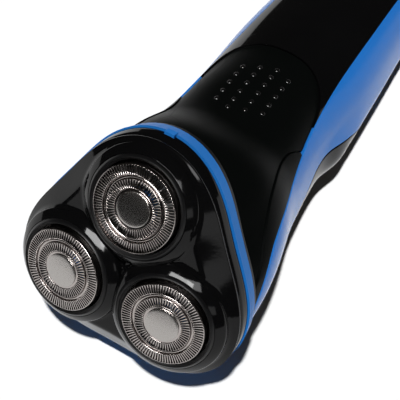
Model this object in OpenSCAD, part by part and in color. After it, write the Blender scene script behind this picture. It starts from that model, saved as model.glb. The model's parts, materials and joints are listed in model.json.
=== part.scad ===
// Rotary electric shaver with three floating cutters, lying on its back.
// The handle runs along Y, the head is at -Y and the front of the grip faces +Z.
// Heights in the head are measured along its own axis, from the top of the guards.

/* [Head] */
// Tilt of the head away from square to the handle
head_tilt = 24; // [22:1:28]
// Height of the middle of the guard tops above the table
head_rise = 38.4; // [38:0.2:41]
// Mean radius of the rounded triangle of the head
head_r = 29.6; // [29.4:0.1:30.6]
// How far the three corners of the triangle swell, as a share of its radius
head_swell = 0.117; // [0.1:0.001:0.12]
// Distance of each cutter from the middle of the head
cutter_r = 16.5; // [16.5:0.25:17]
// Wall of the head cap
cap_wall = 1.6; // [1.2:0.1:2]
// Depth of the edge of the cap below the guard tops
cap_depth = 12; // [11.7:0.1:12.4]
// Depth of the valley between the pods below the guard tops
valley_depth = 4; // [3.8:0.1:4.2]
// Radius of the raised pod around each cutter
pod_r = 15.3; // [15:0.1:15.5]
// Depth of the flat top of a pod below its guard's top
pod_depth = 1.6; // [1.4:0.1:1.8]
// Forward lean of the front cutter
front_lean = 8; // [6:0.5:8]
// Sideways lean of the two back cutters
side_lean = 5; // [3:0.5:6]
// How much deeper the front cutter sits than the back two
front_sink = 1.2; // [0.8:0.1:1.4]

/* [Cutters] */
// Outer radius of the steel guard
guard_r = 11.2; // [10.8:0.1:11.3]
// Sheet thickness of the guard
guard_sheet = 0.6; // [0.5:0.05:0.7]
// Height of the guard from its flange to its top
guard_h = 4; // [3.8:0.1:4.2]
// Width of the flange that holds the guard down
guard_lip = 0.9; // [0.7:0.1:1]
// Outer radius of the centre disc
disc_r = 4.4; // [4:0.1:4.6]
// Number of slots in the outer track
outer_slots = 36; // [24:2:48]
// Number of slots in the inner track
inner_slots = 24; // [16:2:32]
// Number of blades on a cutter
blades = 15; // [9:1:18]
// Travel of a guard when it is pressed in
float_travel = 0.8; // [0.5:0.1:0.9]

/* [Ring and deck] */
// Height of the blue ring
ring_h = 4.3; // [4.1:0.1:4.8]
// Wall of the blue ring
ring_wall = 2.2; // [1.8:0.1:2.4]
// Thickness of the drive frame's floor
frame_floor = 1.4; // [1.2:0.1:2]
// Thickness of the hair tray's floor
tray_floor = 1.3; // [1:0.1:1.4]
// Thickness of the seal under the hair tray
seal_h = 0.8; // [0.6:0.1:1]

/* [Gears] */
// Tooth module
gear_module = 0.5; // [0.5:0.1:0.5]
// Teeth on the drive gear
drive_teeth = 22; // [20:1:24]
// Thickness of the gears
gear_h = 1.6; // [1.2:0.1:1.8]
// Radius of a gear's hub
hub_r = 3.2; // [3:0.1:3.6]
// Radius of the fixed axle of a gear
axle_r = 0.8; // [0.6:0.1:1]
// Side of the square drive tip of a spindle
tip_side = 2.2; // [1.8:0.1:2.4]

/* [Motor] */
// Outer radius of the motor can
motor_r = 12; // [10.5:0.5:12.5]
// Length of the motor
motor_len = 29; // [25:1:30]
// Wall of the motor can
can_wall = 1; // [0.8:0.1:1.2]
// Radius of the motor shaft
shaft_r = 1; // [0.8:0.1:1.2]

/* [Handle] */
// Neck: distance behind the head centre, width, top height, bottom height
neck = [18.5, 58.6, 54, 5.6];
// Shoulder: the same four sizes
shoulder = [48.5, 46.4, 44, 0.4];
// Waist: the same four sizes
waist = [68.5, 41.6, 43.2, 0];
// Palm: the same four sizes
palm = [96.5, 43.4, 39.8, 0];
// Tail: the same four sizes
tail = [128.5, 40.4, 36.6, 0];
// Base: the same four sizes
base = [160.5, 38, 33.5, 0];
// Wall of the handle shells
shell_wall = 1.8; // [1.4:0.1:2.2]
// Seam between neighbouring shells
seam = 0.2; // [0.1:0.05:0.3]
// Length of the base cap
base_len = 8; // [7:0.5:12]
// Rounding of the base cap's edge
base_round = 4; // [2:0.5:6]
// Depth of the flat strip that the handle rests on
rest_flat = 0.35; // [0.2:0.05:0.6]

/* [Grip panel] */
// Distance of the arch's shoulders behind the head centre
arch_start = 67.5; // [62:0.5:70]
// Height of the arch along the handle
arch_rise = 15.5; // [10:0.5:18]
// Depth of the panel below the shell around it
panel_sink = 0.5; // [0.3:0.1:0.8]
// Radius of a grip stud
stud_r = 0.75; // [0.5:0.05:1]
// Height of a grip stud above the panel
stud_h = 0.4; // [0.2:0.1:0.6]
// Spacing of the studs across the handle
stud_pitch_x = 3.8; // [3.4:0.1:4.2]
// Spacing of the studs along the handle
stud_pitch_y = 3.4; // [3:0.1:3.8]
// Distance of the first stud behind the head centre
stud_start = 55.2; // [52:0.2:57]

/* [Button] */
// Distance of the power button behind the head centre
button_at = 126; // [120:1:130]
// Radius of the power button
button_r = 5.4; // [4.5:0.1:6]
// Width of the metal bezel around the button
bezel_w = 1.2; // [0.8:0.1:1.6]
// Travel of the button
button_travel = 0.5; // [0.3:0.1:0.7]
// Distance of the charging light behind the button
lens_gap = 13; // [11:0.5:14]
// Radius of the charging light
lens_r = 1.3; // [1:0.1:1.8]

/* [Inside] */
// Height of the top of the chassis above the table
chassis_top = 19.6; // [19:0.2:20.4]
// Thickness of the chassis
chassis_h = 2; // [1.6:0.1:2.4]
// Width of the chassis
chassis_w = 31; // [30:0.5:32]
// Radius of the battery cell
cell_r = 7.1; // [6.5:0.1:7.2]
// Length of the battery cell
cell_len = 50; // [44:1:52]
// Width of the circuit board
pcb_w = 22; // [18:1:24]
// Thickness of the circuit board
pcb_h = 1.6; // [1:0.1:1.6]
// Width of the charging inlet's opening
inlet_w = 9.4; // [8.6:0.2:10]
// Height of the charging inlet's opening
inlet_h = 6; // [5.4:0.2:6.4]
// Depth of the charging inlet
inlet_depth = 7; // [6:0.5:7.5]
// Radius of a charging pin
inlet_pin_r = 0.6; // [0.5:0.05:0.8]

/* [Fits] */
// Running clearance of a shaft or pin in its bore
run_fit = 0.08; // [0.05:0.01:0.1]
// Clearance around sliding parts
slide_fit = 0.3; // [0.25:0.05:0.35]
// Gap between faces that rest against each other
face_fit = 0.1; // [0.05:0.05:0.15]

/* [Hidden] */
$fn = 64;
tiny = 0.01;
// Each cutter's angle round the head, its lean to the side and to the front, its depth
POSITIONS = [[90, 0, front_lean, front_sink], [210, -side_lean, 1, 0], [330, side_lean, 1, 0]];
lean_depth = 5;
// Columns of studs as [place across, first half-row, number of studs]
STUD_COLUMNS = [[-1.5, 1, 5], [-0.5, 0, 6], [0.5, 1, 6], [1.5, 2, 5]];

// Handle stations, the lines that bound the blue side bands as [distance, angle]
STATIONS = [neck, shoulder, waist, palm, tail, base];
BAND_FRONT = [[14, -16], [22, -3], [30, 10], [45, 21.5], [66, 32.5], [88, 44], [105, 46.5], [160, 44]];
BAND_BACK = [[14, -38], [22, -24], [30, -17], [45, -12], [58, -9], [66, -2], [74, -1], [84, -7],
             [92, -15], [102, -23], [114, -27], [160, -26]];
// How much wider the back swells than the front, as [distance, extra half-width], and
// the heights round the section between which the swelling sets in
BELLY_LINE = [[30, 0], [45, 0.6], [62, 0.8], [70, 1.2], [78, 2.9], [86, 2.2], [98, 1.2],
              [120, 0.8], [160, 0.4]];
belly_high = 0.15;
belly_fade = 0.45;
neck_power = 2.8;
palm_power = 2.4;
blend_len = 33;
tilt_len = 46;
front_drop = 0.66;
collar_inset = 1;
// Line between the grip panel and the side wings as [distance, share of the front]
WING_LINE = [[14, 0.87], [20, 0.9], [28, 0.8], [35, 0.7], [46, 0.68], [54, 0.76], [60, 1]];
wing_tip = 58.5;
shell_fn = 44;

// Depths below the guard tops, measured along the head's axis
head_shift = 0;
flare = 0.85;
plate_top = 8;
plate_h = 1.2;
pod_base = 5.8;
// The cap's side stands straight from its edge to the brow, then rounds over
brow_depth = 7.8;
rim_flare = 0.5;
brow_inset = 1.2;
brow_round_h = 2;
shoulder_inset = 4.5;
brow_shift = 0.8;
// Middle post of the cap and the stem of the lock knob inside it
post_r = 3;
stem_bore = 1.6;
// How far the release tab stands above the ring
tab_rise = 1;
ring_top = cap_depth + slide_fit;
ring_bottom = ring_top + ring_h;
frame_top = ring_bottom + face_fit;
floor_top = frame_top + 0.7;
frame_bottom = floor_top + frame_floor;
body_depth = frame_bottom + face_fit;
tray_top = plate_top + plate_h + 2;
tray_bottom = tray_top + tray_floor;
tray_rim = cap_depth - 1.5;
seal_top = tray_bottom + face_fit;
spigot_top = seal_top + seal_h + face_fit;
pod_ring_depth = guard_h - guard_sheet - face_fit;
gear_bottom = floor_top - 0.5 - face_fit;
gear_top = gear_bottom - gear_h;
web_top = gear_bottom - 1;
hub_top = tray_top - 0.3;
lip_h = 0.6;
flange_top = hub_top + lip_h + face_fit;
flange_h = 0.8;
spindle_r = 1.7;
spindle_top = 7.2;
tip_top = 3.9;
carrier_top = 3.5;
carrier_bottom = 5;
cutter_hub_bottom = 6.4;
blade_top = guard_sheet + 0.15;
blade_base = 3;
hub_bore_r = hub_r - 0.9;
gear_teeth = round(2 * cutter_r / gear_module) - drive_teeth;

// Rounded triangle of the head and its hinge at the back
function tri_r(a) = head_r * (1 + head_swell * cos(3 * (a - 90)));
barrel_r = 1.2;
hinge_pin_r = barrel_r / 2;
cap_chamfer = barrel_r + face_fit;
hinge_y = head_shift + barrel_r - tri_r(-90) - flare;
hinge_depth = cap_depth - cap_chamfer;
knuckle_w = 4;
knuckle_step = knuckle_w + face_fit;
front_edge = tri_r(90) + head_shift;

// Placing of the head in the handle's frame
nose = (cutter_r / 2 + guard_r) * sin(head_tilt);
total_len = nose + base[0];
head_y = nose - total_len / 2;
shell_end = base[0] - base_len;
body_start = body_depth * cos(head_tilt) + head_shift * sin(head_tilt);
body_start_z = head_rise - body_depth * sin(head_tilt) + head_shift * cos(head_tilt);

// Places inside the handle
boss_x = 6;
boss_near = 57;
boss_far = shell_end - 11;
boss_r = 2.6;
pcb_gap = 3;
pcb_start = boss_near - 4;
pcb_end = boss_far + 2;
pcb_bottom = chassis_top + pcb_gap;
pcb_top = pcb_bottom + pcb_h;
cell_start = boss_near + 6;
cell_z = chassis_top - chassis_h - cell_r - 0.4;
switch_h = 3.6;
button_rise = 0.9;
button_drop = skin(button_at, 90)[2] - pcb_top - switch_h;

// Smooth step from 0 to 1, and a smooth curve through [x, value, ...] points
function smooth(t) = let (u = min(1, max(0, t))) u * u * (3 - 2 * u);
function mix(a, b, t) = a + (b - a) * t;
function line_slope(p, i, k) =
    let (lo = max(0, i - 1), hi = min(len(p) - 1, i + 1))
    (p[hi][k] - p[lo][k]) / (p[hi][0] - p[lo][0]);
function line_span(p, d, i = 0) =
    i >= len(p) - 2 || d < p[i + 1][0] ? i : line_span(p, d, i + 1);
function along(p, d, k = 1) =
    let (i = line_span(p, d), w = p[i + 1][0] - p[i][0], t = max(0, min(1, (d - p[i][0]) / w)))
    p[i][k] * (1 + 2 * t) * (1 - t) * (1 - t) + p[i + 1][k] * t * t * (3 - 2 * t)
    + line_slope(p, i, k) * w * t * (1 - t) * (1 - t) - line_slope(p, i + 1, k) * w * t * t * (1 - t);

// A point of the handle's skin: distance behind the head centre, angle round the
// section (0 = +X, 90 = front) and depth below the outer surface
function signed_power(v, e) = sign(v) * pow(abs(v), e);
function section_mid(d) = mix(body_start_z, (along(STATIONS, d, 2) + along(STATIONS, d, 3)) / 2,
                              smooth((d - body_start) / blend_len));
function skin_local(d, a, inset) =
    let (w = smooth((d - body_start) / blend_len),
         tri = tri_r(a) - collar_inset - inset,
         half_h = (along(STATIONS, d, 2) - along(STATIONS, d, 3)) / 2 - inset,
         belly = along(BELLY_LINE, d) * smooth((belly_high - sin(a)) / belly_fade),
         half_w = along(STATIONS, d, 1) / 2 + belly - inset,
         e = 2 / mix(neck_power, palm_power, w),
         lower = sin(a) < 0 ? rest_flat : 0)
    [mix(tri * cos(a), half_w * signed_power(cos(a), e), w),
     mix(tri * sin(a) * (sin(a) > 0 ? front_drop : 1), (half_h + lower) * signed_power(sin(a), e), w)];
function section_tilt(d) = head_tilt * (1 - smooth((d - body_start) / tilt_len));
function skin(d, a, inset = 0) =
    let (p = skin_local(d, a, inset), t = section_tilt(d))
    [p[0], head_y + d + p[1] * sin(t), max(inset, section_mid(d) + p[1] * cos(t))];

// A skin piece: a closed slab between an outer and an inner grid of points
function flat(rows) = [for (row = rows) for (p = row) p];
function grid_faces(nu, nv, start, turn) =
    [for (i = [0:nu - 1], j = [0:nv - 1])
        let (a = start + i * (nv + 1) + j, b = a + 1, c = a + nv + 2, e = a + nv + 1)
        for (f = turn ? [[a, c, b], [a, e, c]] : [[a, b, c], [a, c, e]]) f];
function strip_faces(top, low, turn) =
    [for (i = [0:len(top) - 2])
        for (f = turn ? [[top[i], top[i + 1], low[i + 1]], [top[i], low[i + 1], low[i]]]
                      : [[top[i], low[i + 1], top[i + 1]], [top[i], low[i], low[i + 1]]]) f];
module slab(outer, inner) {
    nu = len(outer) - 1;
    nv = len(outer[0]) - 1;
    n = (nu + 1) * (nv + 1);
    first = [for (j = [0:nv]) j];
    last = [for (j = [0:nv]) nu * (nv + 1) + j];
    low = [for (i = [0:nu]) i * (nv + 1)];
    high = [for (i = [0:nu]) i * (nv + 1) + nv];
    polyhedron(points = concat(flat(outer), flat(inner)),
               faces = concat(grid_faces(nu, nv, 0, false), grid_faces(nu, nv, n, true),
                              strip_faces(first, [for (v = first) v + n], false),
                              strip_faces(last, [for (v = last) v + n], true),
                              strip_faces(low, [for (v = low) v + n], true),
                              strip_faces(high, [for (v = high) v + n], false)));
}

// Places things in the head's own frame, on the drive axis behind a cutter, and on
// the leaning axis of the cutter itself
module at_head() {
    translate([0, head_y, head_rise]) rotate([90 - head_tilt, 0, 0]) children();
}
module on_drive(p) {
    translate([cutter_r * cos(p[0]), cutter_r * sin(p[0]), -p[3]]) rotate([0, 0, p[0] - 90]) children();
}
module lean_over(p) {
    translate([cutter_r * cos(p[0]), cutter_r * sin(p[0]), -p[3] - lean_depth])
        rotate([-p[2], p[1], 0]) translate([0, 0, lean_depth]) rotate([0, 0, p[0] - 90]) children();
}
module at_drive(p) {
    at_head() on_drive(p) children();
}
module at_cutter(p) {
    at_head() lean_over(p) children();
}
// A disc or tube between two depths below the guard tops
module drum(r, top, bottom) {
    translate([0, 0, -bottom]) cylinder(r = r, h = bottom - top);
}
module tube(r, bore, top, bottom) {
    difference() {
        drum(r, top, bottom);
        drum(bore, top - 1, bottom + 1);
    }
}
// A box centred on X and Y between two depths
module block(w, l, top, bottom) {
    translate([-w / 2, -l / 2, -bottom]) cube([w, l, bottom - top]);
}
module head_outline(inset) {
    polygon([for (a = [0:3.75:359]) (tri_r(a) - inset) * [cos(a), sin(a)] + [0, head_shift]]);
}
module head_plate(inset, top, bottom) {
    translate([0, 0, -bottom]) linear_extrude(bottom - top) head_outline(inset);
}
module head_slice(inset, depth) {
    head_plate(inset, depth - tiny, depth);
}

// ---- Head cap, pods and cutters ----
module pod() {
    round_r = 1.8;
    rotate_extrude()
        polygon(concat([[0, -pod_base], [pod_r, -pod_base]],
                       [for (a = [0:15:90]) [pod_r - round_r + round_r * cos(a),
                                             -pod_depth - round_r + round_r * sin(a)]],
                       [[0, -pod_depth]]));
}
module head_cap() {
    hinge_w = 3 * knuckle_w + 1;
    brow_top = brow_depth - brow_round_h;
    color([0.03, 0.03, 0.035]) at_head() {
        difference() {
            union() {
                difference() {
                    hull() {
                        head_slice(-rim_flare, cap_depth);
                        translate([0, -brow_shift, 0]) {
                            head_slice(-rim_flare, brow_depth);
                            head_slice(brow_inset, brow_top);
                            head_slice(shoulder_inset, valley_depth);
                        }
                    }
                    hull() {
                        head_slice(cap_wall, cap_depth + 1);
                        translate([0, -brow_shift, 0]) {
                            head_slice(cap_wall + brow_inset - 0.1, brow_top + 0.4);
                            head_slice(shoulder_inset + cap_wall, valley_depth + cap_wall);
                        }
                    }
                }
                for (p = POSITIONS) lean_over(p) pod();
                drum(post_r, valley_depth + 1, plate_top - face_fit);
                translate([0, hinge_y + barrel_r + 1.2, 0])
                    block(hinge_w + 3, 2, valley_depth + 1, tray_rim - slide_fit);
            }
            for (p = POSITIONS) lean_over(p) {
                drum(guard_r + guard_lip + slide_fit + 0.1, pod_ring_depth, cap_depth + 1);
                drum(guard_r + 1.8, -1, pod_ring_depth + tiny);
            }
            translate([0, hinge_y - 1.4, 0])
                block(hinge_w, 2 * barrel_r + 3.2, cap_depth - 3.4, cap_depth + 1);
            drum(stem_bore, valley_depth + 1.2, cap_depth);
            translate([0, front_edge, 0])
                block(release_w + 2 * slide_fit, 6, ring_top - tab_rise - slide_fit, cap_depth + 1);
        }
        difference() {
            union() {
                translate([-knuckle_w / 2, hinge_y, -hinge_depth]) rotate([0, 90, 0])
                    cylinder(r = barrel_r, h = knuckle_w);
                translate([0, hinge_y + 0.8 * barrel_r, 0])
                    block(knuckle_w, 1.6 * barrel_r, hinge_depth - barrel_r, hinge_depth + barrel_r / 2);
            }
            translate([-knuckle_w, hinge_y, -hinge_depth]) rotate([0, 90, 0])
                cylinder(r = hinge_pin_r + run_fit, h = 2 * knuckle_w);
        }
    }
}
module pod_ring(p) {
    color([0.05, 0.05, 0.055]) at_cutter(p) rotate_extrude()
        polygon([[guard_r + slide_fit, -pod_ring_depth], [guard_r + 1.75, -pod_ring_depth],
                 [guard_r + 1.75, -pod_depth + 0.3], [guard_r + 1.4, -pod_depth + 0.6],
                 [guard_r + 0.9, -pod_depth + 0.6], [guard_r + 0.8, -pod_depth + 0.2],
                 [guard_r + slide_fit, -pod_depth + 0.2]]);
}
module guard(p) {
    rim = 0.5;
    color([0.72, 0.68, 0.66]) at_cutter(p) difference() {
        rotate_extrude()
            polygon(concat([[1.6, -guard_sheet], [1.6, 0]],
                           [for (a = [90:-15:0]) [guard_r - rim + rim * cos(a), -rim + rim * sin(a)]],
                           [[guard_r, -guard_h + guard_sheet],
                            [guard_r + guard_lip, -guard_h + guard_sheet],
                            [guard_r + guard_lip, -guard_h], [guard_r - guard_sheet, -guard_h],
                            [guard_r - guard_sheet, -guard_sheet]]));
        tube(8.2, 7.4, -1, 0.25);
        for (i = [0:outer_slots - 1]) rotate([0, 0, i * 360 / outer_slots])
            translate([9.5, 0, 0]) block(2, 0.35, -1, 1);
        for (i = [0:inner_slots - 1]) rotate([0, 0, i * 360 / inner_slots])
            translate([6.2, 0, 0]) block(2, 0.35, -1, 1);
    }
}
module guard_disc(p) {
    color([0.66, 0.64, 0.62]) at_cutter(p) {
        rotate_extrude()
            polygon([[0, tiny], [disc_r, tiny], [disc_r, 0.2], [disc_r - 0.3, 0.4], [0, 0.5]]);
        drum(1.5, -0.1, guard_sheet + 0.6);
    }
}
module cutter(p) {
    blade_in = 5.3;
    blade_out = guard_r - guard_sheet - 0.4;
    color([0.62, 0.62, 0.64]) at_cutter(p) {
        tube(blade_out, blade_in - 0.3, blade_base, carrier_top);
        for (i = [0:blades - 1]) rotate([0, 0, (i + 0.3) * 360 / blades])
            translate([(blade_in + blade_out) / 2, 0, 0])
                block(blade_out - blade_in - 0.1, 0.35, blade_top, blade_base + tiny);
    }
}
module cutter_carrier(p) {
    socket = tip_side + 0.8;
    color([0.12, 0.3, 0.6]) at_cutter(p) difference() {
        union() {
            drum(6.6, carrier_top + tiny, carrier_bottom);
            drum(3.2, guard_sheet + 1, cutter_hub_bottom);
        }
        block(socket, socket, tip_top - 0.5, cutter_hub_bottom + 1);
    }
}
module retaining_plate() {
    plate_bottom = plate_top + plate_h;
    rim_r = guard_r + guard_lip - 0.1;
    color([0.10, 0.10, 0.11]) at_head() difference() {
        union() {
            head_plate(5.2, plate_top, plate_bottom);
            for (p = POSITIONS) lean_over(p)
                tube(rim_r, rim_r - 1.1, guard_h + float_travel + face_fit, plate_bottom + 2);
        }
        head_plate(-2, plate_bottom, plate_bottom + 6);
        for (p = POSITIONS) {
            on_drive(p) drum(8, 0, plate_bottom + 1);
            lean_over(p) tube(pod_r + slide_fit, rim_r + slide_fit, 0, pod_base + face_fit);
        }
        drum(stem_bore, 0, plate_bottom + 1);
    }
}
module lock_knob() {
    knob_top = plate_top + plate_h + face_fit;
    color([0.10, 0.32, 0.65]) at_head() {
        drum(4.6, knob_top, knob_top + 0.6);
        block(8, 1.6, knob_top, knob_top + 1.5);
        drum(stem_bore - run_fit, valley_depth + 1.4, knob_top + tiny);
    }
}

// ---- Hinge, ring and deck ----
module head_hinge_pin() {
    color([0.75, 0.75, 0.77]) at_head()
        translate([-1.5 * knuckle_w - 0.2, hinge_y, -hinge_depth]) rotate([0, 90, 0])
            cylinder(r = hinge_pin_r, h = 3 * knuckle_w + 0.4);
}
release_w = 2.6;
release_fit = slide_fit / 2;
release_flange = 0.5;
release_bottom = spigot_top - slide_fit;
module accent_ring() {
    color([0.12, 0.47, 0.84]) at_head() {
        difference() {
            hull() {
                head_slice(-flare, ring_top + tiny);
                head_slice(0, ring_bottom);
            }
            head_plate(ring_wall, ring_top - 1, ring_bottom + 1);
            translate([0, front_edge, 0])
                block(release_w + 2 * release_fit, 9, ring_top - 1, release_bottom + release_fit);
        }
        for (s = [-1, 1]) difference() {
            union() {
                translate([s * knuckle_step - knuckle_w / 2, hinge_y, -hinge_depth]) rotate([0, 90, 0])
                    cylinder(r = barrel_r, h = knuckle_w);
                translate([s * knuckle_step, hinge_y, 0])
                    block(knuckle_w, 2 * barrel_r, hinge_depth, ring_top + 1);
            }
            translate([s * knuckle_step - knuckle_w, hinge_y, -hinge_depth]) rotate([0, 90, 0])
                cylinder(r = hinge_pin_r + run_fit, h = 2 * knuckle_w);
        }
    }
}
module release_latch() {
    inner = front_edge - ring_wall - slide_fit - release_flange;
    outer = front_edge + flare;
    color([0.12, 0.47, 0.84]) at_head() {
        translate([0, (inner + outer) / 2, 0])
            block(release_w, outer - inner, ring_top - tab_rise, release_bottom);
        translate([0, inner + release_flange / 2, 0])
            block(release_w + 2, release_flange, ring_top + 0.2, release_bottom);
    }
}
module hair_tray() {
    color([0.06, 0.06, 0.065]) at_head() difference() {
        head_plate(ring_wall + slide_fit, tray_rim, tray_bottom);
        head_plate(ring_wall + slide_fit + 1, 0, tray_top);
        for (p = POSITIONS) on_drive(p) drum(hub_r + slide_fit, 0, tray_bottom + 1);
        translate([0, front_edge, 0]) block(release_w + 3, 8.5, 0, tray_bottom + 1);
    }
}
module tray_seal() {
    color([0.15, 0.15, 0.16]) at_head() difference() {
        head_plate(ring_wall + slide_fit, seal_top, seal_top + seal_h);
        head_plate(ring_wall + slide_fit + 1.2, 0, ring_bottom);
        translate([0, front_edge, 0]) block(release_w + 3, 8.5, 0, ring_bottom);
    }
}
module drive_frame() {
    color([0.05, 0.05, 0.055]) at_head() {
        difference() {
            union() {
                head_plate(0.8, frame_top, frame_bottom);
                head_plate(ring_wall + slide_fit, spigot_top, frame_top + tiny);
            }
            head_plate(ring_wall + slide_fit + 1.3, 0, floor_top);
            drum(3.5, 0, frame_bottom + 1);
            for (s = [-1, 1]) translate([s * 8, 0, 0]) drum(1.1, 0, frame_bottom + 1);
            translate([0, front_edge, 0]) block(release_w + 3, 6, 0, spigot_top + 0.1);
        }
        for (p = POSITIONS) translate([0, 0, p[3]]) on_drive(p) {
            drum(2, floor_top - 0.5, floor_top + tiny);
            drum(axle_r, web_top + face_fit, floor_top);
        }
    }
}

// ---- Gears and spindles ----
module gear_blank(teeth) {
    pitch_r = gear_module * teeth / 2;
    step = 360 / teeth;
    root = pitch_r - 1.1 * gear_module;
    tip = pitch_r + 0.8 * gear_module;
    polygon([for (i = [0:teeth - 1]) for (k = [[-0.31, root], [-0.11, tip], [0.11, tip], [0.31, root]])
             k[1] * [cos((i + k[0]) * step), sin((i + k[0]) * step)]]);
}
module drive_gear() {
    color([0.9, 0.88, 0.8]) at_head() difference() {
        translate([0, 0, -gear_bottom]) linear_extrude(gear_h) gear_blank(drive_teeth);
        drum(shaft_r + 0.02, 0, frame_bottom);
    }
}
// The gear's teeth stand opposite the gaps of the drive gear
function mesh_turn(angle) =
    let (phase = angle * drive_teeth / 360)
    angle + 180 + (phase - floor(phase) + 0.5) * 360 / gear_teeth;
module gear(p) {
    color([0.92, 0.9, 0.84])
        at_head() translate([cutter_r * cos(p[0]), cutter_r * sin(p[0]), 0]) difference() {
            union() {
                rotate([0, 0, mesh_turn(p[0])]) translate([0, 0, -gear_bottom])
                    linear_extrude(gear_h) gear_blank(gear_teeth);
                drum(hub_r, hub_top, gear_bottom);
            }
            drum(axle_r + run_fit, 0, gear_bottom + 1);
            drum(hub_bore_r, hub_top + lip_h, web_top);
            drum(spindle_r + run_fit, 0, hub_top + 1);
        }
}
module spindle(p) {
    color([0.8, 0.8, 0.82]) at_drive(p) {
        drum(hub_bore_r - run_fit, flange_top - p[3], flange_top - p[3] + flange_h);
        drum(spindle_r, spindle_top, flange_top - p[3] + tiny);
        block(tip_side, tip_side, tip_top + 1, spindle_top + tiny);
        block(tip_side - 0.5, tip_side - 0.5, tip_top, tip_top + 1 + tiny);
    }
}
// A coil spring: one closed tube swept along the helix
module spindle_spring(p) {
    coils = 2;
    steps = 10;
    wire = 0.2;
    coil_r = hub_bore_r - 0.35;
    low = web_top - wire - 0.02;
    high = flange_top + flange_h + wire + 0.02;
    rings = [for (i = [0:coils * steps])
        let (t = i / (coils * steps), a = 360 * i / steps)
        [for (k = [0:4]) let (r = coil_r + wire * cos(72 * k))
            [r * cos(a), r * sin(a), -mix(low, high, t) + wire * sin(72 * k)]]];
    n = len(rings);
    color([0.7, 0.7, 0.72]) at_drive(p) translate([0, 0, p[3]])
        polyhedron(points = flat(rings),
                   faces = concat([[for (k = [4:-1:0]) k]], [[for (k = [0:4]) (n - 1) * 5 + k]],
                                  [for (i = [0:n - 2], k = [0:4])
                                      let (a = i * 5 + k, b = i * 5 + (k + 1) % 5)
                                      for (f = [[a, b + 5, a + 5], [a, b, b + 5]]) f]));
}

// ---- Motor ----
motor_top = frame_bottom + face_fit;
motor_bottom = motor_top + motor_len;
bush_r = 2.4;
module motor_can() {
    color([0.7, 0.7, 0.72]) at_head() difference() {
        drum(motor_r, motor_top, motor_bottom - 3);
        drum(motor_r - can_wall, motor_top + 1.2, motor_bottom);
        drum(bush_r + 0.02, 0, motor_bottom);
        for (s = [-1, 1]) translate([s * 8, 0, 0]) drum(0.8, 0, motor_top + 3);
    }
}
module motor_end_cap() {
    color([0.85, 0.85, 0.82]) at_head() {
        difference() {
            union() {
                drum(motor_r, motor_bottom - 3 + 0.05, motor_bottom);
                drum(motor_r - can_wall - 0.1, motor_bottom - 4.5, motor_bottom - 2);
            }
            drum(motor_r - can_wall - 1.5, motor_bottom - 5, motor_bottom - 1.5);
            drum(bush_r + 0.02, motor_bottom - 5, motor_bottom + 1);
        }
        for (s = [-1, 1]) translate([s * 6, 0, 0]) block(2, 0.5, motor_bottom - 1, motor_bottom + 2.5);
    }
}
module motor_magnets() {
    color([0.25, 0.24, 0.24]) at_head() intersection() {
        tube(motor_r - can_wall - 0.05, motor_r - can_wall - 1.6, motor_top + 4, motor_bottom - 6);
        union() {
            block(12, 2 * motor_r, motor_top, motor_bottom);
        }
    }
}
module motor_bushes() {
    color([0.72, 0.55, 0.3]) at_head() {
        tube(bush_r, shaft_r + run_fit, motor_top, motor_top + 1.8);
        tube(bush_r, shaft_r + run_fit, motor_bottom - 2, motor_bottom);
    }
}
module motor_shaft() {
    color([0.8, 0.8, 0.82]) at_head() drum(shaft_r, gear_top - 0.4, motor_bottom - 0.3);
}
module motor_armature() {
    core_r = motor_r - can_wall - 2.2;
    color([0.72, 0.4, 0.2]) at_head() difference() {
        union() {
            drum(core_r, motor_top + 5, motor_bottom - 9);
            drum(core_r * 0.75, motor_top + 3.5, motor_bottom - 7.5);
            drum(2.6, motor_top + 2.4, motor_bottom - 5.4);
        }
        drum(shaft_r + 0.02, 0, motor_bottom + 1);
        for (i = [0:4]) rotate([0, 0, 72 * i]) translate([core_r, 0, 0])
            block(2.4, 1.4, 0, motor_bottom);
    }
}
module motor_screws() {
    color([0.8, 0.8, 0.82]) at_head() for (s = [-1, 1]) translate([s * 8, 0, 0]) {
        drum(1.5, floor_top - 0.5, floor_top - 0.01);
        drum(0.75, floor_top - 0.1, motor_top + 2);
    }
}

// ---- Handle shells ----
half_seam = seam / 40 * 180 / PI;
function band_front(d) = along(BAND_FRONT, d);
function band_back(d) = along(BAND_BACK, d);
// q runs across the front, 1 at the right band and -1 at the left band
function front_angle(d, q) = 90 - q * (90 - band_front(d) - half_seam);
function arch(q) = arch_start + arch_rise * sqrt(max(0, 1 - q * q));
function panel_share(d) = along(WING_LINE, d);
module front_shell() {
    nu = 20;
    nv = 24;
    function p(i, j, inset) =
        let (q = cos(180 * j / nv), d = mix(arch(q) + seam, shell_end - seam / 2, i / nu))
        skin(d, front_angle(d, q), inset);
    color([0.02, 0.02, 0.025]) difference() {
        slab([for (i = [0:nu]) [for (j = [0:nv]) p(i, j, 0)]],
             [for (i = [0:nu]) [for (j = [0:nv]) p(i, j, shell_wall)]]);
        at_button() cylinder(r = button_r + bezel_w + face_fit, h = 20, center = true);
        at_light() cylinder(r = lens_r + run_fit, h = 20, center = true);
    }
}
function panel_point(u, v, inset) =
    let (q0 = cos(180 * v), d = mix(body_start, arch(q0), u))
    skin(d, front_angle(d, q0 * (panel_share(d) - 0.004)), panel_sink + inset);
module grip_panel() {
    nu = 22;
    nv = 20;
    color([0.04, 0.04, 0.045])
        slab([for (i = [0:nu]) [for (j = [0:nv]) panel_point(i / nu, j / nv, 0)]],
             [for (i = [0:nu]) [for (j = [0:nv]) panel_point(i / nu, j / nv, shell_wall - panel_sink)]]);
}
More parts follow.
